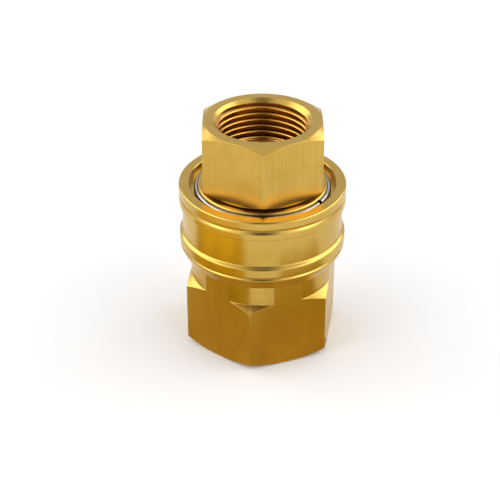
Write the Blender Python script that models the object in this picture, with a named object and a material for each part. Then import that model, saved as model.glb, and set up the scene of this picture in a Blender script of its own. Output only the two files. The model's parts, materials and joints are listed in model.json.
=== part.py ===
"""A 1 inch straight-through ball-lock quick disconnect coupler, standing on its socket end with the
plug locked in. Metres, +Z up along the coupler's axis, origin at the middle of the socket's foot.

Radii are worked out from the plug's nose outwards, and heights from the foot upwards."""

import math

import bmesh
import bpy
from mathutils import Matrix

# Female pipe thread, 1 inch parallel, the same at both ends
THREAD_MAJOR_R = 0.016625
THREAD_DEPTH = 0.001479
THREAD_PITCH = 0.002309
THREAD_LENGTH = 0.0190
THREAD_RELIEF = 0.0030
COUNTERSINK_OVER = 0.0004
FLOW_BORE_R = 0.0125

# Hexagons
BODY_HEX_FLATS = 0.0500
BODY_HEX_HEIGHT = 0.0258
BODY_HEX_TURN = math.radians(20.9)
PLUG_HEX_FLATS = 0.0410
PLUG_HEX_HEIGHT = 0.02365
PLUG_HEX_TURN = math.radians(30)
HEX_BEVEL_INSET = 0.0003
HEX_BEVEL_SLOPE = math.tan(math.radians(30))

# Heights
BODY_HEIGHT = 0.0610
PLUG_NOSE_LENGTH = 0.02895
PLUG_SEAT_GAP = 0.00035
SLEEVE_OVER_BODY = 0.0003
SLEEVE_TRAVEL = 0.0070
SLEEVE_TO_HEX = 0.0013
BARREL_IN_SLEEVE = 0.0022

# Radii, outwards from the plug's nose
PLUG_NOSE_R = 0.0175
BORE_CLEARANCE = 0.00025
NOSE_WALL = 0.0050
SPRING_SPACE = 0.00275
SLIDE_CLEARANCE = 0.0003
SLEEVE_WALL = 0.0035
MOUTH_WALL = 0.0038

# Ball lock
BALL_COUNT = 12
BALL_R = 0.00325
BALL_PROUD = 0.0002
BALL_GAP = 0.00015
BALL_HOLE_CLEARANCE = 0.0002
BALL_SEAT_R = 0.00285
BALL_RELEASE_GAP = 0.00005
LAND_CLEARANCE = 0.0002
LAND_BELOW_BALL = 0.0037
CONE_CLEARANCE = 0.00012

# Snap ring, a round wire in a groove near the top of the socket
SNAP_WIRE_R = 0.0009
SNAP_RING_OVER_NOSE = 0.00035
SNAP_GROOVE_DEPTH = 0.00065
SNAP_GROOVE_HEIGHT = 0.0020
SNAP_BELOW_TOP = 0.00185
SNAP_SHOULDER_DROP = 0.00085
SNAP_RING_START = math.radians(-31)
SNAP_RING_SWEEP = math.radians(356)
HOLE_TO_GROOVE = 0.0004

# Seals, an O-ring with a back-up ring above it
SEAL_GROOVE_DEPTH = 0.00265
SEAL_GROOVE_HEIGHT = 0.0044
SEAL_BELOW_BALL = 0.0068
SEAL_GAP = 0.00015
BACKUP_RING_HEIGHT = 0.0014

# Sleeve outside: ribs, grooves between them, and a long recess for the fingers
RIM_RIB = 0.0028
UPPER_GROOVE = 0.0021
SECOND_RIB = 0.0023
RECESS_DEPTH = 0.0011
RECESS_RAMP = 0.0009
LOWER_RIB = 0.0031
LOWER_GROOVE = 0.0011
GROOVE_DEPTH = 0.0006
SLEEVE_TAIL = 0.0041
TAIL_TAPER = 0.0020

# Spring between the barrel and the sleeve's land
SPRING_WIRE_R = 0.00075
SPRING_TURNS = 4
SPRING_GAP = 0.0003

# Plug's nose below its locking groove
NOSE_STEP_IN = 0.0013
NOSE_TIP_LENGTH = 0.0043
NOSE_LIP_R = 0.0010
NOSE_LEAD_IN = 0.0007

EDGE = 0.0004
MOUTH_CHAMFER = 0.0008
COLUMNS = 36
WIRE_SIDES = 6
RING_SIDES = 8
HOLE_SIDES = 16
SEAT_STEPS = 3
BALL_SEGMENTS = 12
BALL_RINGS = 7
MERGE = 1e-6
SHARP_ANGLE = math.radians(30)

# Worked out from the sizes above
THREAD_MINOR_R = THREAD_MAJOR_R - THREAD_DEPTH
COUNTERSINK_R = THREAD_MAJOR_R + COUNTERSINK_OVER
BORE_R = PLUG_NOSE_R + BORE_CLEARANCE
NOSE_R = BORE_R + NOSE_WALL
BARREL_R = NOSE_R + SPRING_SPACE
SKIRT_R = BARREL_R + SLIDE_CLEARANCE
SLEEVE_R = SKIRT_R + SLEEVE_WALL
MOUTH_R = SLEEVE_R - MOUTH_WALL

SLEEVE_BOTTOM = BODY_HEX_HEIGHT + SLEEVE_TRAVEL + SLEEVE_TO_HEX
SLEEVE_TOP = BODY_HEIGHT + SLEEVE_OVER_BODY
BARREL_TOP = SLEEVE_BOTTOM + BARREL_IN_SLEEVE
PLUG_HEX_BOTTOM = BODY_HEIGHT + PLUG_SEAT_GAP
PLUG_TOP = PLUG_HEX_BOTTOM + PLUG_HEX_HEIGHT
PLUG_TIP = PLUG_HEX_BOTTOM - PLUG_NOSE_LENGTH
SOCKET_FLOOR = PLUG_TIP - EDGE

SNAP_RING_Z = BODY_HEIGHT - SNAP_BELOW_TOP
SNAP_GROOVE_BOTTOM = SNAP_RING_Z - SNAP_GROOVE_HEIGHT / 2
BALL_HOLE_R = BALL_R + BALL_HOLE_CLEARANCE
BALL_Z = SNAP_GROOVE_BOTTOM - HOLE_TO_GROOVE - BALL_HOLE_R
BALL_RING_R = NOSE_R + BALL_PROUD - BALL_R
BALL_LIFT = PLUG_NOSE_R + BALL_RELEASE_GAP - (BALL_RING_R - BALL_R)
SEAL_GROOVE_TOP = BALL_Z - SEAL_BELOW_BALL
SEAL_GROOVE_BOTTOM = SEAL_GROOVE_TOP - SEAL_GROOVE_HEIGHT
SEAL_GROOVE_R = BORE_R + SEAL_GROOVE_DEPTH
LAND_R = NOSE_R + BALL_PROUD + LAND_CLEARANCE
LAND_BOTTOM = BALL_Z - LAND_BELOW_BALL
SHOULDER_Z = SNAP_RING_Z - SNAP_SHOULDER_DROP


def clear_scene():
    for old in list(bpy.data.objects):
        bpy.data.objects.remove(old, do_unlink=True)


def material(name, colour, roughness, metallic):
    made = bpy.data.materials.new(name)
    made.use_nodes = True
    shader = made.node_tree.nodes["Principled BSDF"]
    shader.inputs["Base Color"].default_value = (*colour, 1.0)
    shader.inputs["Roughness"].default_value = roughness
    shader.inputs["Metallic"].default_value = metallic
    made.diffuse_color = (*colour, 1.0)
    return made


def full_turn(columns=COLUMNS, turn=0.0):
    """Angles once round, with the last on top of the first."""
    return [turn + 2 * math.pi * column / columns for column in range(columns + 1)]


def swept_shape(rows, angles, open_ended=False):
    """A closed bmesh from a section outline that goes round the Z axis. Each row is one point of the
    outline, as its (radius, height) at each angle. At +X the outline runs down its outer side.
    A full turn meets itself, and a sweep with open ends gets a flat cap on each."""
    shape = bmesh.new()
    grid = []
    for row in rows:
        points = zip(row, angles)
        grid.append([shape.verts.new((r * math.cos(a), r * math.sin(a), z)) for (r, z), a in points])
    for upper, lower in zip(grid, grid[1:] + grid[:1]):
        for left in range(len(angles) - 1):
            right = left + 1
            shape.faces.new((upper[left], lower[left], lower[right], upper[right]))
    if open_ended:
        shape.faces.new([row[0] for row in reversed(grid)])
        shape.faces.new([row[-1] for row in grid])
    bmesh.ops.remove_doubles(shape, verts=shape.verts, dist=MERGE)
    return shape


def turned_shape(outline, columns=COLUMNS, turn=0.0):
    """A turned body. The outline mixes plain (radius, height) points with ready-made thread rows."""
    rows = []
    for item in outline:
        rows.append(item if isinstance(item, list) else [item] * (columns + 1))
    return swept_shape(rows, full_turn(columns, turn))


def thread_rows(mouth, inner):
    """Rows of a right-hand female thread, in climbing order: crest and root lines half a pitch apart.
    The roots run out over one pitch at the inner end, and a 45 degree countersink opens the mouth."""
    low, high = min(mouth, inner), max(mouth, inner)
    rows = []
    for half_turn in range(-2, 2 * math.ceil((high - low) / THREAD_PITCH) + 1):
        row = []
        for column in range(COLUMNS + 1):
            climb = THREAD_PITCH * (half_turn / 2 + column / COLUMNS)
            height = min(max(low + climb, low), high)
            run_out = min(abs(height - inner) / THREAD_PITCH, 1.0)
            radius = THREAD_MINOR_R + THREAD_DEPTH * run_out * (half_turn % 2)
            row.append((max(radius, COUNTERSINK_R - abs(height - mouth)), height))
        rows.append(row)
    return rows


def wire_rows(path, wire_r, sides=WIRE_SIDES):
    """Section rows of a round wire along a path of (radius, height) pairs."""
    rows = []
    for side in range(sides):
        lean = math.pi / 2 - 2 * math.pi * side / sides
        across, up = wire_r * math.cos(lean), wire_r * math.sin(lean)
        rows.append([(radius + across, height + up) for radius, height in path])
    return rows


def add_piece(name, shape, finish, origin=(0, 0, 0), turn=0.0):
    """Makes the object and gives it its own material. The shape's points are relative to the origin."""
    mesh = bpy.data.meshes.new(name)
    shape.to_mesh(mesh)
    shape.free()
    mesh.shade_smooth()
    mesh.set_sharp_from_angle(angle=SHARP_ANGLE)
    mesh.materials.append(finish)
    piece = bpy.data.objects.new(name, mesh)
    piece.location = origin
    piece.rotation_euler.z = turn
    bpy.context.scene.collection.objects.link(piece)
    return piece


def lowered(shape, height):
    """The shape moved down, so that a piece drawn in world heights gets its origin at this height."""
    bmesh.ops.translate(shape, vec=(0, 0, -height), verts=shape.verts)
    return shape


def cut(piece, cutter):
    """Takes the cutter out of the piece with a Boolean modifier, and hides it from the model."""
    cutter.hide_render = True
    cutter.display_type = "WIRE"
    cutter.parent = piece
    modifier = piece.modifiers.new(cutter.name, "BOOLEAN")
    modifier.operation = "DIFFERENCE"
    modifier.solver = "EXACT"
    modifier.object = cutter


def add_hex_cutter(name, flats, bottom, top, turn, finish):
    """A six-sided pipe: what is left inside it is a hexagon of this size across its flats."""
    corner = flats / math.sqrt(3)
    outside = 2 * corner
    outline = [(outside, top), (outside, bottom), (corner, bottom), (corner, top)]
    return add_piece(name, turned_shape(outline, columns=6, turn=turn), finish)


def add_ball_hole_cutter(finish):
    """One radial hole for each ball. It closes in round the ball to a seat at the bore, which is
    narrower than the ball, so that no ball drops through."""
    outer_end = NOSE_R + BALL_R
    inner_end = BORE_R - MOUTH_CHAMFER
    steepest = math.acos(BALL_SEAT_R / BALL_HOLE_R)
    outline = [(0, outer_end), (BALL_HOLE_R, outer_end)]
    for step in range(SEAT_STEPS + 1):
        lean = steepest * step / SEAT_STEPS
        outline.append((BALL_HOLE_R * math.cos(lean), BALL_RING_R - BALL_HOLE_R * math.sin(lean)))
    outline += [(BALL_SEAT_R, inner_end), (0, inner_end)]
    one_hole = bpy.data.meshes.new("ball_hole")
    holes = bmesh.new()
    for number in range(BALL_COUNT):
        hole = turned_shape(outline, columns=HOLE_SIDES)
        outwards = Matrix.Rotation(ball_angle(number), 4, "Z") @ Matrix.Rotation(math.pi / 2, 4, "Y")
        bmesh.ops.transform(hole, matrix=Matrix.Translation((0, 0, BALL_Z)) @ outwards, verts=hole.verts)
        hole.to_mesh(one_hole)
        hole.free()
        holes.from_mesh(one_hole)
    bpy.data.meshes.remove(one_hole)
    return add_piece("ball_hole_cutter", holes, finish)


def ball_angle(number):
    return 2 * math.pi * number / BALL_COUNT


def hex_bevel_drop(corner_r, face_r):
    """How far a hexagon's 30 degree bevel comes down between its face and its corner."""
    return (corner_r - face_r) * HEX_BEVEL_SLOPE


def socket_outline():
    """The socket body's section: foot hexagon, barrel, nose with the snap ring's groove, seal groove
    in the bore, and the thread in the foot."""
    corner = BODY_HEX_FLATS / math.sqrt(3)
    foot_r = BODY_HEX_FLATS / 2 - HEX_BEVEL_INSET
    groove_r = NOSE_R - SNAP_GROOVE_DEPTH
    relief_top = THREAD_LENGTH + THREAD_RELIEF
    web_bottom = relief_top + (THREAD_MINOR_R - FLOW_BORE_R) * HEX_BEVEL_SLOPE
    outside = [
        (NOSE_R - EDGE, BODY_HEIGHT),
        (NOSE_R, BODY_HEIGHT - EDGE),
        (NOSE_R, SNAP_GROOVE_BOTTOM + SNAP_GROOVE_HEIGHT),
        (groove_r, SNAP_GROOVE_BOTTOM + SNAP_GROOVE_HEIGHT),
        (groove_r, SNAP_GROOVE_BOTTOM),
        (NOSE_R, SNAP_GROOVE_BOTTOM),
        (NOSE_R, BARREL_TOP),
        (BARREL_R - EDGE, BARREL_TOP),
        (BARREL_R, BARREL_TOP - EDGE),
        (BARREL_R, BODY_HEX_HEIGHT),
        (corner, BODY_HEX_HEIGHT - hex_bevel_drop(corner, BARREL_R)),
        (corner, hex_bevel_drop(corner, foot_r)),
        (foot_r, 0),
    ]
    inside = [
        (THREAD_MINOR_R, relief_top),
        (FLOW_BORE_R, web_bottom),
        (FLOW_BORE_R, SOCKET_FLOOR),
        (BORE_R, SOCKET_FLOOR),
        (BORE_R, SEAL_GROOVE_BOTTOM),
        (SEAL_GROOVE_R, SEAL_GROOVE_BOTTOM),
        (SEAL_GROOVE_R, SEAL_GROOVE_TOP),
        (BORE_R, SEAL_GROOVE_TOP),
        (BORE_R, BODY_HEIGHT - MOUTH_CHAMFER),
        (BORE_R + MOUTH_CHAMFER, BODY_HEIGHT),
    ]
    return outside + thread_rows(mouth=0, inner=THREAD_LENGTH) + inside


def add_socket_body(brass):
    body = add_piece("socket_body", turned_shape(socket_outline()), brass)
    reach = BARREL_TOP + HOLE_TO_GROOVE
    cut(body, add_hex_cutter("body_hex_cutter", BODY_HEX_FLATS, -EDGE, reach, BODY_HEX_TURN, brass))
    cut(body, add_ball_hole_cutter(brass))
    return body


def plug_outline():
    """The plug's section: hexagon with the thread in its top, and the nose with its locking groove."""
    corner = PLUG_HEX_FLATS / math.sqrt(3)
    face_r = PLUG_HEX_FLATS / 2 - HEX_BEVEL_INSET
    bevel = hex_bevel_drop(corner, face_r)
    floor_r = BALL_RING_R - BALL_R - BALL_GAP
    half_open = (BALL_R + BALL_GAP) * math.sqrt(2) - (BALL_RING_R - PLUG_NOSE_R)
    half_floor = half_open - (PLUG_NOSE_R - floor_r)
    tip_r = PLUG_NOSE_R - NOSE_STEP_IN
    step_z = PLUG_TIP + NOSE_TIP_LENGTH
    lip_cut = NOSE_LIP_R * (1 - math.sqrt(0.5))
    thread_floor = PLUG_TOP - THREAD_LENGTH
    outside = [
        (face_r, PLUG_TOP),
        (corner, PLUG_TOP - bevel),
        (corner, PLUG_HEX_BOTTOM + bevel),
        (face_r, PLUG_HEX_BOTTOM),
        (PLUG_NOSE_R, PLUG_HEX_BOTTOM),
        (PLUG_NOSE_R, BALL_Z + half_open),
        (floor_r, BALL_Z + half_floor),
        (floor_r, BALL_Z - half_floor),
        (PLUG_NOSE_R, BALL_Z - half_open),
        (PLUG_NOSE_R, step_z + NOSE_STEP_IN),
        (tip_r, step_z),
        (tip_r, PLUG_TIP + NOSE_LIP_R),
        (tip_r - lip_cut, PLUG_TIP + lip_cut),
        (tip_r - NOSE_LIP_R, PLUG_TIP),
    ]
    inside = [
        (FLOW_BORE_R + NOSE_LEAD_IN, PLUG_TIP),
        (FLOW_BORE_R, PLUG_TIP + NOSE_LEAD_IN),
        (FLOW_BORE_R, thread_floor - THREAD_RELIEF / 2),
        (THREAD_MINOR_R, thread_floor - THREAD_RELIEF / 2 + THREAD_MINOR_R - FLOW_BORE_R),
    ]
    return outside + inside + thread_rows(mouth=PLUG_TOP, inner=thread_floor + THREAD_RELIEF / 2)


def add_plug_body(brass):
    """The plug turns in the socket about the axis, so its origin is on it."""
    origin = (0, 0, PLUG_HEX_BOTTOM)
    plug = add_piece("plug_body", lowered(turned_shape(plug_outline()), origin[2]), brass, origin)
    top = PLUG_HEX_HEIGHT + EDGE
    cut(plug, add_hex_cutter("plug_hex_cutter", PLUG_HEX_FLATS, -EDGE / 2, top, PLUG_HEX_TURN, brass))
    return plug


def release_slope():
    """How far a ball moves out for each metre that the sleeve moves down."""
    return BALL_LIFT / SLEEVE_TRAVEL


def cone_radius(height):
    """The sleeve's cone stays this far out to clear the balls on their way from locked to released."""
    slope = release_slope()
    return BALL_RING_R + BALL_R * math.hypot(1, slope) + slope * (height - BALL_Z) + CONE_CLEARANCE


def sleeve_outline():
    """Ribs, grooves and finger recess outside; mouth, release cone, land and spring room inside."""
    groove_r = SLEEVE_R - GROOVE_DEPTH
    recess_r = SLEEVE_R - RECESS_DEPTH
    upper_groove_z = SLEEVE_TOP - RIM_RIB
    second_rib_z = upper_groove_z - UPPER_GROOVE
    recess_top = second_rib_z - SECOND_RIB
    tail_z = SLEEVE_BOTTOM + SLEEVE_TAIL
    lower_rib_z = tail_z + LOWER_GROOVE
    recess_bottom = lower_rib_z + LOWER_RIB + RECESS_RAMP
    cone_start = BALL_Z + (LAND_R - cone_radius(BALL_Z)) / release_slope()
    outside = [
        (SLEEVE_R - EDGE, SLEEVE_TOP),
        (SLEEVE_R, SLEEVE_TOP - EDGE),
        (SLEEVE_R, upper_groove_z),
        (groove_r, upper_groove_z - UPPER_GROOVE / 2),
        (SLEEVE_R, second_rib_z),
        (SLEEVE_R, recess_top + EDGE),
        (recess_r, recess_top),
        (recess_r, recess_bottom),
        (SLEEVE_R, recess_bottom - RECESS_RAMP),
        (SLEEVE_R, lower_rib_z),
        (groove_r, lower_rib_z - LOWER_GROOVE / 2),
        (SLEEVE_R, tail_z),
        (SLEEVE_R - TAIL_TAPER, SLEEVE_BOTTOM),
    ]
    inside = [
        (SKIRT_R, SLEEVE_BOTTOM),
        (SKIRT_R, LAND_BOTTOM),
        (LAND_R, LAND_BOTTOM),
        (LAND_R, cone_start),
        (cone_radius(SHOULDER_Z), SHOULDER_Z),
        (MOUTH_R, SHOULDER_Z),
        (MOUTH_R, SLEEVE_TOP - EDGE),
        (MOUTH_R + EDGE, SLEEVE_TOP),
    ]
    return outside + inside


def add_sleeve(brass):
    """The sleeve slides down the axis, so its origin is on it."""
    origin = (0, 0, SLEEVE_BOTTOM)
    return add_piece("sleeve", lowered(turned_shape(sleeve_outline()), origin[2]), brass, origin)


def add_sleeve_spring(steel):
    """A compression spring whose end coils lie closer together."""
    bottom = BARREL_TOP + SPRING_GAP + SPRING_WIRE_R
    rise = LAND_BOTTOM - SPRING_GAP - SPRING_WIRE_R - bottom
    radius = (NOSE_R + SKIRT_R) / 2
    steps = SPRING_TURNS * COLUMNS // 2
    path = []
    for step in range(steps + 1):
        share = step / steps
        path.append((radius, rise * (share - math.sin(2 * math.pi * share) / (4 * math.pi))))
    angles = [2 * math.pi * SPRING_TURNS * step / steps for step in range(steps + 1)]
    shape = swept_shape(wire_rows(path, SPRING_WIRE_R), angles, open_ended=True)
    return add_piece("sleeve_spring", shape, steel, (0, 0, bottom))


def add_snap_ring(steel):
    """An open ring of round wire that stops the sleeve from coming off."""
    angles = [SNAP_RING_START + SNAP_RING_SWEEP * step / COLUMNS for step in range(COLUMNS + 1)]
    path = [(NOSE_R + SNAP_RING_OVER_NOSE, 0)] * len(angles)
    shape = swept_shape(wire_rows(path, SNAP_WIRE_R, RING_SIDES), angles, open_ended=True)
    return add_piece("snap_ring", shape, steel, (0, 0, SNAP_RING_Z))


def add_o_ring(rubber):
    """Drawn as squeezed between the plug's nose and the groove's floor."""
    section_r = (SEAL_GROOVE_R - SEAL_GAP - BORE_R) / 2
    height = SEAL_GROOVE_BOTTOM + SEAL_GAP + section_r
    angles = full_turn()
    path = [(BORE_R + section_r, 0)] * len(angles)
    shape = swept_shape(wire_rows(path, section_r, RING_SIDES), angles)
    return add_piece("o_ring", shape, rubber, (0, 0, height))


def add_backup_ring(ptfe):
    inner, outer = BORE_R + SEAL_GAP, SEAL_GROOVE_R - SEAL_GAP
    outline = [(outer, 0), (outer, -BACKUP_RING_HEIGHT), (inner, -BACKUP_RING_HEIGHT), (inner, 0)]
    origin = (0, 0, SEAL_GROOVE_TOP - SEAL_GAP)
    return add_piece("backup_ring", turned_shape(outline), ptfe, origin)


def add_locking_balls(steel):
    """Each ball is drawn about its own centre, which is on the line that it slides along."""
    balls = []
    for number in range(BALL_COUNT):
        shape = bmesh.new()
        bmesh.ops.create_uvsphere(shape, u_segments=BALL_SEGMENTS, v_segments=BALL_RINGS, radius=BALL_R)
        angle = ball_angle(number)
        centre = (BALL_RING_R * math.cos(angle), BALL_RING_R * math.sin(angle), BALL_Z)
        balls.append(add_piece(f"locking_ball_{number + 1:02d}", shape, steel, centre, angle))
    return balls


def main():
    clear_scene()
    brass = material("socket_brass", (0.62, 0.40, 0.11), 0.30, 1.0)
    sleeve_brass = material("sleeve_brass", (0.64, 0.42, 0.12), 0.27, 1.0)
    plug_brass = material("plug_brass", (0.66, 0.44, 0.13), 0.30, 1.0)
    ball_steel = material("ball_steel", (0.60, 0.60, 0.61), 0.10, 1.0)
    wire_steel = material("wire_steel", (0.70, 0.70, 0.71), 0.22, 1.0)
    spring_steel = material("spring_steel", (0.55, 0.55, 0.56), 0.30, 1.0)
    rubber = material("seal_rubber", (0.015, 0.015, 0.016), 0.50, 0.0)
    ptfe = material("backup_ptfe", (0.85, 0.85, 0.82), 0.45, 0.0)

    coupler = bpy.data.objects.new("coupler", None)
    bpy.context.scene.collection.objects.link(coupler)
    pieces = [
        add_socket_body(brass),
        add_plug_body(plug_brass),
        add_sleeve(sleeve_brass),
        add_sleeve_spring(spring_steel),
        add_snap_ring(wire_steel),
        add_o_ring(rubber),
        add_backup_ring(ptfe),
    ]
    for piece in pieces + add_locking_balls(ball_steel):
        piece.parent = coupler


main()
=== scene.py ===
import json
import math

import bmesh
import bpy
from mathutils import Matrix, Vector


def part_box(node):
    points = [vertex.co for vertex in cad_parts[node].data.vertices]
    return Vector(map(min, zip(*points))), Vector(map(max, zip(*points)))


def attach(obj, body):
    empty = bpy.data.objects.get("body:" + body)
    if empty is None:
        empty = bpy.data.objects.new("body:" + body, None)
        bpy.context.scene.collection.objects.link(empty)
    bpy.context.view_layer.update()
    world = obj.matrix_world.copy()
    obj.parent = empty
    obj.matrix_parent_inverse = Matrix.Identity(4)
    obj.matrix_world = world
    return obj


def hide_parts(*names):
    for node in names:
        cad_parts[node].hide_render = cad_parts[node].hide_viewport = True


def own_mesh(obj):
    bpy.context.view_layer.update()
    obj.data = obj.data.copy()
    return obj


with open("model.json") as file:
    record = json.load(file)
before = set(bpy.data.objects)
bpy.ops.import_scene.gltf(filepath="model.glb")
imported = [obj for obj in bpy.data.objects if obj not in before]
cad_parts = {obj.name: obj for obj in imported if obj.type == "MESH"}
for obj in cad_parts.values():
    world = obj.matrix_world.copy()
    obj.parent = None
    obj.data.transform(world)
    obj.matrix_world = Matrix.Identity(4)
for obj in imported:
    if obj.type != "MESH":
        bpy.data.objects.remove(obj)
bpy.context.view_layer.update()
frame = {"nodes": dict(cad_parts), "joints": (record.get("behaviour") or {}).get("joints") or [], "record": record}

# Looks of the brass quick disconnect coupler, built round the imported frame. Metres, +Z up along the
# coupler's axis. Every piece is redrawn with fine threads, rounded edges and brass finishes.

# Read from the frame
MOUNTS = {mount["name"]: mount for mount in frame["record"]["mounts"]}
BODY_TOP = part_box("socket_body")[1].z
PLUG_TIP, PLUG_TOP = (corner.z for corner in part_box("plug_body"))
SLEEVE_BOTTOM, SLEEVE_TOP = (corner.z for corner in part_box("sleeve"))
SLEEVE_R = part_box("sleeve")[1].x
SPRING_BOTTOM, SPRING_TOP = (corner.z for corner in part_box("sleeve_spring"))
RING_BOTTOM, RING_TOP = (corner.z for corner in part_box("snap_ring"))
RING_WIRE_R = (RING_TOP - RING_BOTTOM) / 2
RING_Z = (RING_TOP + RING_BOTTOM) / 2
RING_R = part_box("snap_ring")[1].y - RING_WIRE_R
BALLS = sorted(name for name in frame["nodes"] if name.startswith("locking_ball"))
BALL_R = (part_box(BALLS[0])[1].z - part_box(BALLS[0])[0].z) / 2
BALL_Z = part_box(BALLS[0])[0].z + BALL_R
BALL_RING_R = sum(corner.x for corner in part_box(BALLS[0])) / 2
PLUG_HALF_FLATS = Vector(MOUNTS["plug_wrench_flat"]["pos_m"]).xy.length
BODY_HALF_FLATS = Vector(MOUNTS["socket_wrench_flat"]["pos_m"]).xy.length
BODY_FLAT_NORMAL = MOUNTS["socket_wrench_flat"]["axis"]
BODY_FLAT_TURN = math.atan2(BODY_FLAT_NORMAL[1], BODY_FLAT_NORMAL[0])
SLIDE = next(joint for joint in frame["joints"] if joint["name"] == "sleeve_slide")
SLEEVE_TRAVEL = SLIDE["range_m"][1]

# Sizes that no box shows
THREAD_MAJOR_R = 0.016625
THREAD_DEPTH = 0.001479
THREAD_PITCH = 0.002309
THREAD_MINOR_R = THREAD_MAJOR_R - THREAD_DEPTH
THREAD_LENGTH = 0.0190
THREAD_RELIEF = 0.0030
COUNTERSINK_R = THREAD_MAJOR_R + 0.0004
FLOW_BORE_R = 0.0125
BODY_HEX_HEIGHT = 0.0258
HEX_SEAT_GAP = 0.00035
BEVEL_INSET = 0.0003
BEVEL_SLOPE = math.tan(math.radians(30))
NOSE_R = 0.02275
BARREL_R = 0.0255
BARREL_TOP = SPRING_BOTTOM - 0.0003
BORE_R = 0.01775
PLUG_NOSE_R = 0.0175
SKIRT_R = BARREL_R + 0.0003
MOUTH_R = BARREL_R
LAND_R = NOSE_R + 0.0004
SEAL_GROOVE_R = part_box("o_ring")[1].x + 0.00015
SEAL_GROOVE_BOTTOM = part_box("o_ring")[0].z - 0.00015
SEAL_GROOVE_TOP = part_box("backup_ring")[1].z + 0.00015

SNAP_GROOVE_DEPTH = 0.00065
SNAP_GROOVE_HALF_HEIGHT = 0.0010
MOUTH_CHAMFER = 0.0008
NOSE_CHAMFER = 0.00045
BARREL_CHAMFER = 0.0004
BORE_FLOOR_GAP = 0.0004
BALL_HOLE_R = BALL_R + 0.0002
BALL_SEAT_R = 0.00285
BALL_GAP = 0.00015
CUTTER_REACH = 0.0008
BALL_LIFT = 0.0011
CONE_CLEARANCE = 0.00012
SHOULDER_DROP = 0.00085
NOSE_STEP_IN = 0.0013
NOSE_TIP_LENGTH = 0.0043
NOSE_LIP_R = 0.0010
NOSE_LEAD_IN = 0.0007
RIB_GROOVE_DEPTH = 0.00060
RECESS_DEPTH = 0.0011
TAIL_TAPER = 0.0020
SPRING_WIRE_R = 0.00075
SPRING_TURNS = 4
HEX_EDGE = 0.00035
EDGE = 0.0001

# Studio: brightness of the world's parts, power of the side lights, colours of the glowing cards, which are
# painted reflections and painted shade
FRONT_LOW = 0.12
FRONT_HIGH = 1.30
WALLS = 0.78
CEILING = 0.90
BOX_POWER = 3.0
# Emission colour of the side cards: painted reflection of brass neighbours
CARD_PAINTED_REFLECTION = (0.62, 0.44, 0.02)
# Emission colour of the floor card: painted shadow with a gold bounce on the floor
CARD_PAINTED_FLOOR_SHADOW = (0.63, 0.41, 0.09)

# Camera
CAMERA_ELEVATION = math.radians(32.26)
CAMERA_PLACE = (-0.00434, -0.42722, 0.29829)
CAMERA_LENS = 100.7
CAMERA_SHIFT = 0.019

# How finely the pieces are drawn
COLUMNS = 180
THREAD_ROWS = 16
FILLET_STEPS = 3
MERGE = 1e-7
SHARP = math.radians(35)


def clamp(value, low, high):
    return min(max(value, low), high)


# ---------------------------------------------------------------- shapes


def corner(radius, height, fillet=0.0):
    """One point of a turned outline, with the size of the rounding on it."""
    return (radius, height, fillet)


def rounded(outline):
    """The outline's (radius, height) points, with each filleted corner drawn as a short curve."""
    points = []
    count = len(outline)
    for index, (radius, height, fillet) in enumerate(outline):
        here = Vector((radius, height))
        if fillet == 0:
            points.append(here)
            continue
        before = Vector(outline[index - 1][:2]) - here
        after = Vector(outline[(index + 1) % count][:2]) - here
        start = here + before.normalized() * min(fillet, before.length * 0.45)
        end = here + after.normalized() * min(fillet, after.length * 0.45)
        for step in range(FILLET_STEPS + 1):
            t = step / FILLET_STEPS
            points.append(start * (1 - t) ** 2 + here * (2 * t * (1 - t)) + end * t**2)
    return points


def thread_depth(phase):
    """Depth of the thread at this share of its pitch: 0 on the crest, 1 at the root, both rounded."""
    away = abs(2 * (phase % 1) - 1)
    ramp = clamp((0.93 - away) / 0.80, 0, 1)
    return ramp - 0.03 * math.sin(2 * math.pi * ramp)


def thread_rows(mouth, inner, angles):
    """Rows of a right-hand female thread in climbing order, each a (radius, height) for each angle."""
    low, high = min(mouth, inner), max(mouth, inner)
    start = angles[0]
    rows = []
    last = THREAD_ROWS * (math.ceil((high - low) / THREAD_PITCH) + 1)
    for line in range(last + 1):
        row = []
        for angle in angles:
            climb = THREAD_PITCH * (line / THREAD_ROWS - 1 + (angle - start) / (2 * math.pi))
            height = clamp(low + climb, low, high)
            run_out = clamp(abs(height - inner) / THREAD_PITCH, 0, 1)
            depth = THREAD_DEPTH * run_out * thread_depth(line / THREAD_ROWS)
            countersink = COUNTERSINK_R - abs(height - mouth)
            row.append((max(THREAD_MINOR_R + depth, countersink), height))
        rows.append(row)
    return rows


def column_angles(turn=0.0, extra=()):
    """Angles once round from the turn, evenly spaced, with extra ones where an edge needs them."""
    even = [turn + 2 * math.pi * column / COLUMNS for column in range(COLUMNS + 1)]
    full = 2 * math.pi
    added = [turn + (angle - turn) % full for angle in extra]
    merged = sorted(even + added)
    kept = [merged[0]]
    for angle in merged[1:]:
        if angle - kept[-1] > math.radians(0.02):
            kept.append(angle)
    kept[-1] = turn + full
    return kept


def swept(rows, angles, open_ended=False):
    """A closed bmesh from rows of (radius, height), one for each point of the section."""
    shape = bmesh.new()
    cosines = [math.cos(angle) for angle in angles]
    sines = [math.sin(angle) for angle in angles]
    grid = []
    for row in rows:
        line = []
        for (radius, height), c, s in zip(row, cosines, sines):
            line.append(shape.verts.new((radius * c, radius * s, height)))
        grid.append(line)
    for upper, lower in zip(grid, grid[1:] + grid[:1]):
        for left in range(len(angles) - 1):
            right = left + 1
            shape.faces.new((upper[left], lower[left], lower[right], upper[right]))
    if open_ended:
        shape.faces.new([row[0] for row in reversed(grid)])
        shape.faces.new([row[-1] for row in grid])
    bmesh.ops.remove_doubles(shape, verts=shape.verts, dist=MERGE)
    return shape


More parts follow.
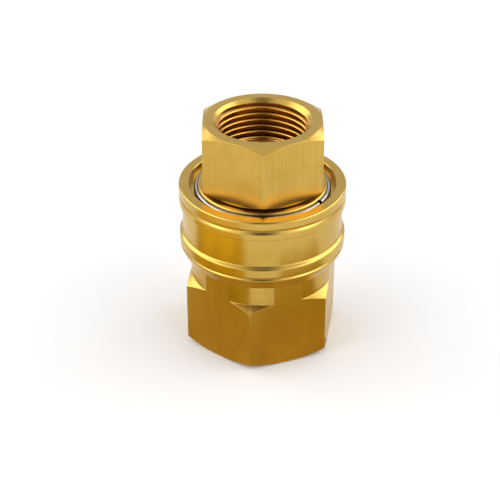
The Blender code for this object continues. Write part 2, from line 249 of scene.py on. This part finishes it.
def turned(outline_at, angles, thread=None):
    """A turned and milled body. outline_at(angle) gives the outline at that angle, and the thread's
    rows, if any, go in where the outline has None."""
    columns = []
    for angle in angles:
        outline = outline_at(angle)
        gap = outline.index(None) if None in outline else len(outline)
        before = rounded_open(outline[:gap])
        after = rounded_open(outline[gap + 1 :])
        columns.append((before, after))
    rows = [list(points) for points in zip(*(before for before, _ in columns))]
    if thread:
        rows += thread
    rows += [list(points) for points in zip(*(after for _, after in columns))]
    return swept([[tuple(point) for point in row] for row in rows], angles)


def rounded_open(outline):
    """rounded(), for a stretch whose two ends stay sharp."""
    if not outline:
        return []
    ends = [corner(*outline[0][:2])] + list(outline[1:-1])
    if len(outline) > 1:
        ends.append(corner(*outline[-1][:2]))
    return rounded(ends)


def add_piece(name, shape, finishes, body, nodes, weighted=True):
    """Makes the object, shades it smooth, gives it its materials, ties it to its CAD body and hides the CAD nodes
    it replaces.
    """
    mesh = bpy.data.meshes.new(name)
    shape.to_mesh(mesh)
    shape.free()
    mesh.shade_smooth()
    mesh.set_sharp_from_angle(angle=SHARP)
    for finish in finishes:
        mesh.materials.append(finish)
    piece = bpy.data.objects.new(name, mesh)
    bpy.context.scene.collection.objects.link(piece)
    if weighted:
        modifier = piece.modifiers.new("even_flats", "WEIGHTED_NORMAL")
        modifier.keep_sharp = True
    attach(piece, body)
    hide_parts(*nodes)
    return piece


def softened_hex_radius(angle, half_flats, flat_turn, edge):
    """Distance from the axis to a hexagon's side at this angle, its upright edges slightly rounded."""
    lean = abs((angle - flat_turn + math.radians(30)) % math.radians(60) - math.radians(30))
    sharp = half_flats / math.cos(lean)
    reach = edge * math.tan(math.radians(30)) / (half_flats / math.cos(math.radians(30)))
    nearness = clamp(1 - (math.radians(30) - lean) / reach, 0, 1)
    return sharp - edge * (1 / math.cos(math.radians(30)) - 1) * nearness**2


def corner_angles(flat_turn, half_flats, edge):
    """Angles at and just beside a hexagon's six corners."""
    reach = edge * math.tan(math.radians(30)) / (half_flats / math.cos(math.radians(30)))
    angles = []
    for number in range(6):
        middle = flat_turn + math.radians(30 + 60 * number)
        angles += [middle + reach * share for share in (-1, -0.5, 0, 0.5, 1)]
    return angles


def socket_outline(angle):
    """Nose, ring groove, barrel and foot hexagon outside; relief, flow bore, bore and mouth inside."""
    groove_r = NOSE_R - SNAP_GROOVE_DEPTH
    side = softened_hex_radius(angle, BODY_HALF_FLATS, BODY_FLAT_TURN, HEX_EDGE)
    barrel = min(BARREL_R, side)
    over = max(side - BARREL_R, 0)
    foot_r = BODY_HALF_FLATS - BEVEL_INSET
    relief_top = THREAD_LENGTH + THREAD_RELIEF
    web = relief_top + (THREAD_MINOR_R - FLOW_BORE_R) * BEVEL_SLOPE
    floor = PLUG_TIP - BORE_FLOOR_GAP
    return [
        corner(BORE_R + MOUTH_CHAMFER, BODY_TOP),
        corner(NOSE_R - NOSE_CHAMFER, BODY_TOP, 0.00008),
        corner(NOSE_R, BODY_TOP - NOSE_CHAMFER, 0.00008),
        corner(NOSE_R, RING_Z + SNAP_GROOVE_HALF_HEIGHT, 0.00006),
        corner(groove_r, RING_Z + SNAP_GROOVE_HALF_HEIGHT, 0.00006),
        corner(groove_r, RING_Z - SNAP_GROOVE_HALF_HEIGHT, 0.00006),
        corner(NOSE_R, RING_Z - SNAP_GROOVE_HALF_HEIGHT, 0.00006),
        corner(NOSE_R, BARREL_TOP, 0.00020),
        corner(barrel - BARREL_CHAMFER, BARREL_TOP, 0.00008),
        corner(barrel, BARREL_TOP - BARREL_CHAMFER, 0.00008),
        corner(barrel, BODY_HEX_HEIGHT, 0.00018),
        corner(side, BODY_HEX_HEIGHT - over * BEVEL_SLOPE, 0.00009),
        corner(side, (side - foot_r) * BEVEL_SLOPE, 0.00014),
        corner(foot_r, 0, EDGE),
        corner(COUNTERSINK_R, 0),
        None,
        corner(THREAD_MINOR_R, relief_top),
        corner(FLOW_BORE_R, web, EDGE),
        corner(FLOW_BORE_R, floor, EDGE),
        corner(BORE_R, floor, EDGE),
        corner(BORE_R, SEAL_GROOVE_BOTTOM, EDGE),
        corner(SEAL_GROOVE_R, SEAL_GROOVE_BOTTOM, EDGE),
        corner(SEAL_GROOVE_R, SEAL_GROOVE_TOP, EDGE),
        corner(BORE_R, SEAL_GROOVE_TOP, EDGE),
        corner(BORE_R, BODY_TOP - MOUTH_CHAMFER, EDGE),
        corner(BORE_R + MOUTH_CHAMFER, BODY_TOP),
    ]


def ball_hole_cutter():
    """Twelve radial holes, each closing in to a seat at the bore that is narrower than its ball."""
    steepest = math.acos(BALL_SEAT_R / BALL_HOLE_R)
    outline = [corner(0, NOSE_R + BALL_R), corner(BALL_HOLE_R, NOSE_R + BALL_R)]
    for step in range(6):
        lean = steepest * step / 5
        outline.append(corner(BALL_HOLE_R * math.cos(lean), BALL_RING_R - BALL_HOLE_R * math.sin(lean)))
    outline += [corner(BALL_SEAT_R, BORE_R - CUTTER_REACH), corner(0, BORE_R - CUTTER_REACH)]
    angles = [2 * math.pi * side / 32 for side in range(33)]
    rows = [[point[:2]] * len(angles) for point in outline]
    holes = bmesh.new()
    one = bpy.data.meshes.new("one_hole")
    for number in range(len(BALLS)):
        hole = swept(rows, angles)
        turn = Matrix.Rotation(2 * math.pi * number / len(BALLS), 4, "Z")
        outwards = turn @ Matrix.Rotation(math.pi / 2, 4, "Y")
        bmesh.ops.transform(hole, matrix=Matrix.Translation((0, 0, BALL_Z)) @ outwards, verts=hole.verts)
        hole.to_mesh(one)
        hole.free()
        holes.from_mesh(one)
    bpy.data.meshes.remove(one)
    mesh = bpy.data.meshes.new("ball_holes")
    holes.to_mesh(mesh)
    holes.free()
    return mesh


def cut_ball_holes(piece):
    """Takes the ball holes out of the socket's mesh, and leaves no modifier or cutter behind."""
    cutter = bpy.data.objects.new("ball_holes", ball_hole_cutter())
    bpy.context.scene.collection.objects.link(cutter)
    modifier = piece.modifiers.new("ball_holes", "BOOLEAN")
    modifier.operation = "DIFFERENCE"
    modifier.solver = "MANIFOLD"
    modifier.object = cutter
    graph = bpy.context.evaluated_depsgraph_get()
    made = bpy.data.meshes.new_from_object(piece.evaluated_get(graph))
    old = piece.data
    piece.modifiers.clear()
    piece.data = made
    bpy.data.meshes.remove(old)
    bpy.data.objects.remove(cutter)


def plug_outline(angle):
    """Hexagon with its two bevels outside, then the nose with its locking groove down to the tip."""
    side = softened_hex_radius(angle, PLUG_HALF_FLATS, 0, HEX_EDGE)
    face_r = PLUG_HALF_FLATS - BEVEL_INSET
    bevel = (side - face_r) * BEVEL_SLOPE
    hex_bottom = BODY_TOP + HEX_SEAT_GAP
    floor_r = BALL_RING_R - BALL_R - BALL_GAP
    half_open = (BALL_R + BALL_GAP) * math.sqrt(2) - (BALL_RING_R - PLUG_NOSE_R)
    half_floor = half_open - (PLUG_NOSE_R - floor_r)
    tip_r = PLUG_NOSE_R - NOSE_STEP_IN
    step_z = PLUG_TIP + NOSE_TIP_LENGTH
    thread_floor = PLUG_TOP - THREAD_LENGTH
    return [
        corner(COUNTERSINK_R, PLUG_TOP),
        corner(face_r, PLUG_TOP, 0.00016),
        corner(side, PLUG_TOP - bevel, 0.00009),
        corner(side, hex_bottom + bevel, 0.00009),
        corner(face_r, hex_bottom, EDGE),
        corner(PLUG_NOSE_R, hex_bottom, EDGE),
        corner(PLUG_NOSE_R, BALL_Z + half_open, EDGE),
        corner(floor_r, BALL_Z + half_floor, 0.0002),
        corner(floor_r, BALL_Z - half_floor, 0.0002),
        corner(PLUG_NOSE_R, BALL_Z - half_open, EDGE),
        corner(PLUG_NOSE_R, step_z + NOSE_STEP_IN, 0.0003),
        corner(tip_r, step_z, 0.0002),
        corner(tip_r, PLUG_TIP, NOSE_LIP_R),
        corner(FLOW_BORE_R + NOSE_LEAD_IN, PLUG_TIP, EDGE),
        corner(FLOW_BORE_R, PLUG_TIP + NOSE_LEAD_IN, EDGE),
        corner(FLOW_BORE_R, thread_floor - THREAD_RELIEF / 2, EDGE),
        corner(THREAD_MINOR_R, thread_floor - THREAD_RELIEF / 2 + THREAD_MINOR_R - FLOW_BORE_R),
        None,
        corner(COUNTERSINK_R, PLUG_TOP),
    ]


def cone_radius(height):
    """The sleeve's release cone, clear of the balls on their way out."""
    slope = BALL_LIFT / SLEEVE_TRAVEL
    return BALL_RING_R + BALL_R * math.hypot(1, slope) + slope * (height - BALL_Z) + CONE_CLEARANCE


def sleeve_outline(_angle):
    """Ribs, grooves and finger recess outside; mouth, release cone, land and spring room inside."""
    groove_r = SLEEVE_R - RIB_GROOVE_DEPTH
    recess_r = SLEEVE_R - RECESS_DEPTH
    shoulder_z = RING_Z - SHOULDER_DROP
    land_bottom = SPRING_TOP + 0.0003
    return [
        corner(MOUTH_R + 0.0003, SLEEVE_TOP),
        corner(SLEEVE_R - 0.0004, SLEEVE_TOP, 0.00020),
        corner(SLEEVE_R, SLEEVE_TOP - 0.0004, 0.00020),
        corner(SLEEVE_R, SLEEVE_TOP - 0.0029, 0.00025),
        corner(groove_r, SLEEVE_TOP - 0.0038, 0.00015),
        corner(SLEEVE_R, SLEEVE_TOP - 0.0048, 0.00030),
        corner(SLEEVE_R, SLEEVE_TOP - 0.0070, 0.00020),
        corner(recess_r, SLEEVE_TOP - 0.0075, 0.00020),
        corner(recess_r, SLEEVE_BOTTOM + 0.0093, 0.00025),
        corner(SLEEVE_R, SLEEVE_BOTTOM + 0.0084, 0.00035),
        corner(SLEEVE_R, SLEEVE_BOTTOM + 0.0053, 0.00025),
        corner(groove_r, SLEEVE_BOTTOM + 0.00465, 0.00015),
        corner(SLEEVE_R - 0.00005, SLEEVE_BOTTOM + 0.0040, 0.00035),
        corner(SLEEVE_R - TAIL_TAPER, SLEEVE_BOTTOM, 0.00020),
        corner(SKIRT_R, SLEEVE_BOTTOM, EDGE),
        corner(SKIRT_R, land_bottom, EDGE),
        corner(LAND_R, land_bottom, EDGE),
        corner(LAND_R, BALL_Z + 0.0002, EDGE),
        corner(cone_radius(shoulder_z), shoulder_z, 0.00006),
        corner(MOUTH_R, shoulder_z, EDGE),
        corner(MOUTH_R, SLEEVE_TOP - 0.0003, EDGE),
        corner(MOUTH_R + 0.0003, SLEEVE_TOP),
    ]


def wire_rows(path, wire_r, sides):
    """Section rows of a round wire along a path of (radius, height) pairs."""
    rows = []
    for side in range(sides):
        lean = math.pi / 2 - 2 * math.pi * side / sides
        across, up = wire_r * math.cos(lean), wire_r * math.sin(lean)
        rows.append([(radius + across, height + up) for radius, height in path])
    return rows


# ---------------------------------------------------------------- finishes


class Nodes:
    """A short way to build a material's node tree."""

    def __init__(self, name):
        self.material = bpy.data.materials.new(name)
        self.material.use_nodes = True
        self.tree = self.material.node_tree
        self.shader = self.tree.nodes["Principled BSDF"]

    def add(self, kind, **settings):
        node = self.tree.nodes.new(kind)
        for key, value in settings.items():
            if key in node.inputs:
                node.inputs[key].default_value = value
            else:
                setattr(node, key, value)
        return node

    def link(self, source, target):
        self.tree.links.new(source, target)

    def math(self, operation, first, second=None):
        node = self.add("ShaderNodeMath", operation=operation)
        for index, value in enumerate((first, second)):
            if value is None:
                continue
            if isinstance(value, (int, float)):
                node.inputs[index].default_value = value
            else:
                self.link(value, node.inputs[index])
        return node.outputs[0]

    def spread(self, value, low, high, to_low, to_high):
        """value, moved from one range to another."""
        node = self.add("ShaderNodeMapRange")
        self.link(value, node.inputs["Value"])
        for key, number in (("From Min", low), ("From Max", high), ("To Min", to_low), ("To Max", to_high)):
            node.inputs[key].default_value = number
        return node.outputs["Result"]

    def blend(self, share, first, second):
        node = self.add("ShaderNodeMix", data_type="RGBA")
        self.link(share, node.inputs["Factor"])
        node.inputs["A"].default_value = (*first, 1)
        node.inputs["B"].default_value = (*second, 1)
        return node.outputs["Result"]

    def noise(self, vector, scale, detail=2.0, roughness=0.5):
        node = self.add("ShaderNodeTexNoise", Scale=scale, Detail=detail, Roughness=roughness)
        self.link(vector, node.inputs["Vector"])
        return node.outputs["Fac"]


BRASS_LIGHT = (0.60, 0.395, 0.090)
BRASS_DEEP = (0.54, 0.34, 0.065)


def brass(name, lay, light=BRASS_LIGHT, deep=BRASS_DEEP, rough=(0.20, 0.34), depth=0.000012, streak=0.15):
    """Machined brass. lay is how the tool marks run: round the axis, or along it on a milled flat."""
    nodes = Nodes(name)
    place = nodes.add("ShaderNodeTexCoord").outputs["Object"]
    split = nodes.add("ShaderNodeSeparateXYZ")
    nodes.link(place, split.inputs[0])
    x, y, z = split.outputs
    joined = nodes.add("ShaderNodeCombineXYZ")
    if lay == "round":
        squares = nodes.math("ADD", nodes.math("POWER", x, 2.0), nodes.math("POWER", y, 2.0))
        radius = nodes.math("SQRT", squares)
        nodes.link(radius, joined.inputs[0])
        nodes.link(z, joined.inputs[1])
        nodes.link(nodes.math("MULTIPLY", x, 0.012), joined.inputs[2])
    else:
        nodes.link(x, joined.inputs[0])
        nodes.link(y, joined.inputs[1])
        nodes.link(nodes.math("MULTIPLY", z, 0.02), joined.inputs[2])
    marks = nodes.noise(joined.outputs[0], 2400, detail=3.0, roughness=0.65)
    broad = nodes.noise(joined.outputs[0], 650, detail=2.0)
    clouds = nodes.noise(place, 90, detail=4.0, roughness=0.6)
    streaked = nodes.math("ADD", nodes.math("MULTIPLY", clouds, 0.55), nodes.math("MULTIPLY", marks, streak))
    stain = nodes.spread(streaked, 0.30 + 0.5 * streak - 0.11, 0.30 + 0.5 * streak + 0.10, 0.0, 1.0)
    colour = nodes.blend(stain, light, deep)
    nodes.link(colour, nodes.shader.inputs["Base Color"])
    wear = nodes.math("ADD", nodes.math("MULTIPLY", marks, 0.6), nodes.math("MULTIPLY", clouds, 0.4))
    nodes.link(nodes.spread(wear, 0.3, 0.7, *rough), nodes.shader.inputs["Roughness"])
    height = nodes.math("ADD", marks, nodes.math("MULTIPLY", broad, 0.8))
    bump = nodes.add("ShaderNodeBump", Strength=0.6, Distance=depth)
    nodes.link(height, bump.inputs["Height"])
    nodes.link(bump.outputs[0], nodes.shader.inputs["Normal"])
    nodes.shader.inputs["Metallic"].default_value = 1.0
    return nodes.material


def steel(name, colour, rough, grain):
    """Bright steel with faint drawn or polished marks."""
    nodes = Nodes(name)
    place = nodes.add("ShaderNodeTexCoord").outputs["Object"]
    marks = nodes.noise(place, grain, detail=3.0)
    darker = tuple(0.82 * channel for channel in colour)
    nodes.link(nodes.blend(marks, colour, darker), nodes.shader.inputs["Base Color"])
    nodes.link(nodes.spread(marks, 0.3, 0.7, *rough), nodes.shader.inputs["Roughness"])
    bump = nodes.add("ShaderNodeBump", Strength=0.3, Distance=0.000006)
    nodes.link(marks, bump.inputs["Height"])
    nodes.link(bump.outputs[0], nodes.shader.inputs["Normal"])
    nodes.shader.inputs["Metallic"].default_value = 1.0
    return nodes.material


def seal_material(name, light, dark, rough, grain):
    """Rubber or PTFE, with a fine moulded grain."""
    nodes = Nodes(name)
    place = nodes.add("ShaderNodeTexCoord").outputs["Object"]
    grit = nodes.noise(place, grain, detail=4.0)
    nodes.link(nodes.blend(grit, light, dark), nodes.shader.inputs["Base Color"])
    nodes.link(nodes.spread(grit, 0.3, 0.7, *rough), nodes.shader.inputs["Roughness"])
    bump = nodes.add("ShaderNodeBump", Strength=0.4, Distance=0.00002)
    nodes.link(grit, bump.inputs["Height"])
    nodes.link(bump.outputs[0], nodes.shader.inputs["Normal"])
    return nodes.material


def mark_flats(shape, half_flats, flat_turn, low, high):
    """Gives a hexagon's flats the second finish, which is the milled one."""
    for face in shape.faces:
        middle = face.calc_center_median()
        if abs(face.normal.z) > 0.05 or not low < middle.z < high:
            continue
        if middle.xy.length < half_flats * 0.97:
            continue
        facing = math.atan2(face.normal.y, face.normal.x)
        lean = (facing - flat_turn + math.radians(30)) % math.radians(60) - math.radians(30)
        if abs(lean) < math.radians(2):
            face.material_index = 1


# ---------------------------------------------------------------- pieces


def add_socket(turned_brass, milled_brass, thread_brass):
    """The body, with flats on its foot that run on up the barrel as narrow facets."""
    half_open = math.acos(BODY_HALF_FLATS / BARREL_R)
    creases = []
    for number in range(6):
        middle = BODY_FLAT_TURN + math.radians(60 * number)
        creases += [middle - half_open, middle + half_open]
    extra = creases + corner_angles(BODY_FLAT_TURN, BODY_HALF_FLATS, HEX_EDGE)
    angles = column_angles(BODY_FLAT_TURN + math.radians(30), extra)
    thread = thread_rows(0, THREAD_LENGTH, angles)
    shape = turned(socket_outline, angles, thread)
    shape.normal_update()
    mark_flats(shape, BODY_HALF_FLATS, BODY_FLAT_TURN, 0, BARREL_TOP - 0.0002)
    mark_thread(shape, COUNTERSINK_R - THREAD_MINOR_R, THREAD_LENGTH)
    # The third material is the thread's brass, whose deeper orange is a painted reflection
    finishes = [turned_brass, milled_brass, thread_brass]
    node = ["socket_body"]
    piece = add_piece("coupler_socket", shape, finishes, "socket", node, weighted=False)
    cut_ball_holes(piece)
    piece.modifiers.new("even_flats", "WEIGHTED_NORMAL").keep_sharp = True
    return piece


def mark_thread(shape, low, high):
    """Gives the female thread the third material: brass tinted deeper orange, a painted reflection of brass on
    brass inside the bore.
    """
    for face in shape.faces:
        middle = face.calc_center_median()
        if low < middle.z < high and middle.xy.length < THREAD_MAJOR_R + 0.0001:
            face.material_index = 2


def add_plug(turned_brass, milled_brass, thread_brass):
    angles = column_angles(math.radians(30), corner_angles(0, PLUG_HALF_FLATS, HEX_EDGE))
    thread_bottom = PLUG_TOP - THREAD_LENGTH + THREAD_RELIEF / 2
    thread = thread_rows(PLUG_TOP, thread_bottom, angles)
    shape = turned(plug_outline, angles, thread)
    shape.normal_update()
    mark_flats(shape, PLUG_HALF_FLATS, 0, BODY_TOP, PLUG_TOP)
    mark_thread(shape, thread_bottom, PLUG_TOP - COUNTERSINK_R + THREAD_MINOR_R)
    # The third material is the thread's brass, whose deeper orange is a painted reflection
    finishes = [turned_brass, milled_brass, thread_brass]
    return add_piece("coupler_plug", shape, finishes, "plug", ["plug_body"])


def add_sleeve(finish):
    angles = column_angles()
    shape = turned(sleeve_outline, angles)
    return add_piece("coupler_sleeve", shape, [finish], "sleeve", ["sleeve"])


def add_snap_ring(finish):
    """Round wire with two blunt ends that nearly meet."""
    start, sweep, steps = math.radians(-31), math.radians(356), 240
    angles = [start + sweep * step / steps for step in range(steps + 1)]
    path = [(RING_R, RING_Z)] * len(angles)
    shape = swept(wire_rows(path, RING_WIRE_R, 24), angles, open_ended=True)
    node = ["snap_ring"]
    return add_piece("retaining_ring", shape, [finish], "socket", node, weighted=False)


def add_spring(finish):
    """The compression spring, drawn at the frame's length; the real one shortens as the sleeve comes down."""
    low = SPRING_BOTTOM + SPRING_WIRE_R
    rise = SPRING_TOP - SPRING_WIRE_R - low
    radius = (NOSE_R + SKIRT_R) / 2
    steps = SPRING_TURNS * 48
    path = []
    for step in range(steps + 1):
        share = step / steps
        path.append((radius, low + rise * (share - math.sin(2 * math.pi * share) / (4 * math.pi))))
    angles = [2 * math.pi * SPRING_TURNS * step / steps for step in range(steps + 1)]
    shape = swept(wire_rows(path, SPRING_WIRE_R, 16), angles, open_ended=True)
    name, node = "sleeve_return_spring", ["sleeve_spring"]
    piece = add_piece(name, shape, [finish], "socket", node, weighted=False)
    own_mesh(piece)
    return piece


def add_seals(rubber, ptfe):
    low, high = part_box("o_ring")
    section_r = (high.z - low.z) / 2
    angles = column_angles()
    path = [(high.x - section_r, low.z + section_r)] * len(angles)
    shape = swept(wire_rows(path, section_r, 20), angles)
    add_piece("bore_o_ring", shape, [rubber], "socket", ["o_ring"], weighted=False)
    low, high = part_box("backup_ring")
    inner = BORE_R + 0.00015

    def outline(_angle):
        return [
            corner(inner, high.z),
            corner(high.x, high.z, 0.0001),
            corner(high.x, low.z, 0.0001),
            corner(inner, low.z, 0.0001),
        ]

    add_piece("bore_backup_ring", turned(outline, angles), [ptfe], "socket", ["backup_ring"])


def add_balls(finish):
    for number, node in enumerate(BALLS):
        low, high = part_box(node)
        shape = bmesh.new()
        bmesh.ops.create_uvsphere(shape, u_segments=48, v_segments=32, radius=BALL_R)
        bmesh.ops.translate(shape, vec=(low + high) / 2, verts=shape.verts)
        body = f"ball_{number + 1:02d}"
        name = f"steel_{body}"
        add_piece(name, shape, [finish], body, [node], weighted=False)


# ---------------------------------------------------------------- studio


def add_floor():
    bpy.ops.mesh.primitive_plane_add(size=6.0, location=(0, 0, 0))
    floor = bpy.context.object
    floor.name = "studio_floor"
    nodes = Nodes("pale_floor")
    nodes.shader.inputs["Base Color"].default_value = (0.84, 0.84, 0.84, 1)
    nodes.shader.inputs["Roughness"].default_value = 0.9
    floor.data.materials.append(nodes.material)


def add_light(name, place, size, power, colour=(1, 1, 1), target=(0, 0, 0.045)):
    light = bpy.data.lights.new(name, "AREA")
    light.shape = "RECTANGLE"
    light.size, light.size_y = size
    light.energy = power
    light.color = colour
    lamp = bpy.data.objects.new(name, light)
    lamp.location = place
    lamp.rotation_euler = (Vector(target) - Vector(place)).to_track_quat("-Z", "Y").to_euler()
    bpy.context.scene.collection.objects.link(lamp)
    return lamp


def ranged(tree, value, low, high, to_low, to_high):
    """A map-range node on a world's or a material's tree. Each end may be a number or a socket."""
    node = tree.nodes.new("ShaderNodeMapRange")
    tree.links.new(value, node.inputs["Value"])
    for key, end in (("From Min", low), ("From Max", high), ("To Min", to_low), ("To Max", to_high)):
        if isinstance(end, float):
            node.inputs[key].default_value = end
        else:
            tree.links.new(end, node.inputs[key])
    return node.outputs["Result"]


def add_world():
    """A grey studio with a bright ceiling and front, and a dark strip low down in front."""
    world = bpy.data.worlds.new("studio")
    world.use_nodes = True
    tree = world.node_tree
    place = tree.nodes.new("ShaderNodeTexCoord")
    split = tree.nodes.new("ShaderNodeSeparateXYZ")
    tree.links.new(place.outputs["Generated"], split.inputs[0])
    sideways = tree.nodes.new("ShaderNodeMath")
    sideways.operation = "ABSOLUTE"
    tree.links.new(split.outputs["X"], sideways.inputs[0])
    front = ranged(tree, sideways.outputs[0], 0.16, 0.42, FRONT_LOW, FRONT_HIGH)
    around = ranged(tree, split.outputs["Z"], 0.55, 0.95, WALLS, CEILING)
    strength = ranged(tree, split.outputs["Y"], -0.42, -0.22, front, around)
    background = tree.nodes["Background"]
    background.inputs["Color"].default_value = (0.98, 0.98, 1.0, 1)
    tree.links.new(strength, background.inputs["Strength"])
    bpy.context.scene.world = world


def add_painted_reflection_card(name, shape, colour):
    """A glowing gold card, unseen by the camera, which shows only as a warm reflection in the coupler's lower
    half. Beside the coupler it paints the reflection of a brass neighbour; on the floor it paints shaded,
    gold-tinted floor.
    """
    mesh = bpy.data.meshes.new(name)
    shape.to_mesh(mesh)
    shape.free()
    card = bpy.data.objects.new(name, mesh)
    bpy.context.scene.collection.objects.link(card)
    nodes = Nodes(name)
    place = nodes.add("ShaderNodeTexCoord").outputs["Object"]
    # Darker patches in the glow: painted darker parts of the reflected neighbours
    painted_reflection_mottle = nodes.noise(place, 60, detail=2.0)
    darker = tuple(0.72 * part for part in colour)
    shade = nodes.blend(nodes.spread(painted_reflection_mottle, 0.35, 0.65, 0.0, 1.0), colour, darker)
    nodes.link(shade, nodes.shader.inputs["Emission Color"])
    split = nodes.add("ShaderNodeSeparateXYZ")
    nodes.link(place, split.inputs[0])
    # Painted light: the card glows brighter towards its top, like a neighbour lit from above, and darker low down,
    # like its sides facing the shaded floor
    painted_light_by_height = nodes.spread(split.outputs["Z"], 0.020, 0.038, 1.0, 1.7)
    nodes.link(painted_light_by_height, nodes.shader.inputs["Emission Strength"])
    nodes.shader.inputs["Base Color"].default_value = (0, 0, 0, 1)
    nodes.shader.inputs["Roughness"].default_value = 1.0
    mesh.materials.append(nodes.material)
    card.visible_camera = False
    card.visible_diffuse = False
    card.visible_shadow = False
    card.visible_transmission = False


def curved_card(start, end, radius):
    """A sheet bent over the line from start to end."""
    axis = Vector(end) - Vector(start)
    across = axis.cross(Vector((0, 0, 1))).normalized()
    up = across.cross(axis).normalized()
    shape = bmesh.new()
    lines = []
    for step in range(25):
        lean = math.pi * (step / 24 * 1.3 - 0.15)
        out = (across * math.cos(lean) + up * math.sin(lean)) * radius
        lines.append([shape.verts.new(Vector(point) + out) for point in (start, end)])
    for first, second in zip(lines, lines[1:]):
        shape.faces.new((first[0], first[1], second[1], second[0]))
    return shape


def flat_card(left, right, front, back, height):
    shape = bmesh.new()
    corners = [(left, front, height), (right, front, height), (right, back, height), (left, back, height)]
    shape.faces.new([shape.verts.new(place) for place in corners])
    return shape


def add_studio():
    add_world()
    add_light("box_left", (-0.58, 0.03, 0.42), (1.15, 0.40), BOX_POWER)
    add_light("box_right", (0.58, 0.03, 0.42), (1.15, 0.40), BOX_POWER)
    # Glowing cards at front left and front right: painted reflections of brass neighbours
    left = curved_card((-0.024, -0.058, 0.020), (-0.072, -0.018, 0.018), 0.020)
    right = curved_card((0.024, -0.062, 0.009), (0.060, -0.024, 0.010), 0.012)
    add_painted_reflection_card("painted_reflection_left", left, CARD_PAINTED_REFLECTION)
    add_painted_reflection_card("painted_reflection_right", right, CARD_PAINTED_REFLECTION)
    # A glowing sheet on the floor in front, seen only in reflections: painted shadow with a gold bounce beside the
    # foot
    add_painted_reflection_card("painted_floor_shadow", flat_card(-0.070, 0.060, -0.060, -0.010, 0.0006), CARD_PAINTED_FLOOR_SHADOW)
    add_floor()


def add_camera():
    data = bpy.data.cameras.new("camera")
    data.lens = CAMERA_LENS
    data.sensor_width = 36.0
    data.shift_y = CAMERA_SHIFT
    data.clip_start, data.clip_end = 0.01, 20
    camera = bpy.data.objects.new("camera", data)
    camera.location = CAMERA_PLACE
    camera.rotation_euler = (math.pi / 2 - CAMERA_ELEVATION, 0, 0)
    bpy.context.scene.collection.objects.link(camera)
    bpy.context.scene.camera = camera


def main():
    turned_brass = brass("brass_turned", "round")
    milled_brass = brass("brass_milled", "along", rough=(0.26, 0.40), depth=0.00002, streak=0.5)
    sleeve_brass = brass("brass_sleeve", "round", rough=(0.19, 0.31), depth=0.0000035)
    # The thread's brass is the same metal, tinted deeper orange: painted reflection of brass bouncing onto brass
    # inside the bore
    thread_brass = brass("brass_thread", "round", (0.68, 0.37, 0.080), (0.58, 0.29, 0.05), (0.16, 0.28))
    wire = steel("bright_wire", (0.50, 0.50, 0.51), (0.10, 0.18), 1500)
    spring_wire = steel("spring_wire", (0.55, 0.55, 0.57), (0.22, 0.34), 1500)
    ball_steel = steel("polished_steel", (0.72, 0.72, 0.74), (0.05, 0.10), 400)
    black, blacker = (0.018, 0.018, 0.019), (0.009, 0.009, 0.010)
    rubber = seal_material("nitrile_rubber", black, blacker, (0.42, 0.58), 2500)
    white, grey = (0.84, 0.84, 0.81), (0.76, 0.76, 0.73)
    ptfe = seal_material("white_ptfe", white, grey, (0.38, 0.50), 1800)
    add_socket(turned_brass, milled_brass, thread_brass)
    add_plug(turned_brass, milled_brass, thread_brass)
    add_sleeve(sleeve_brass)
    add_snap_ring(wire)
    add_spring(spring_wire)
    add_seals(rubber, ptfe)
    add_balls(ball_steel)
    add_studio()
    add_camera()
    bpy.context.scene.view_settings.view_transform = "Standard"


main()
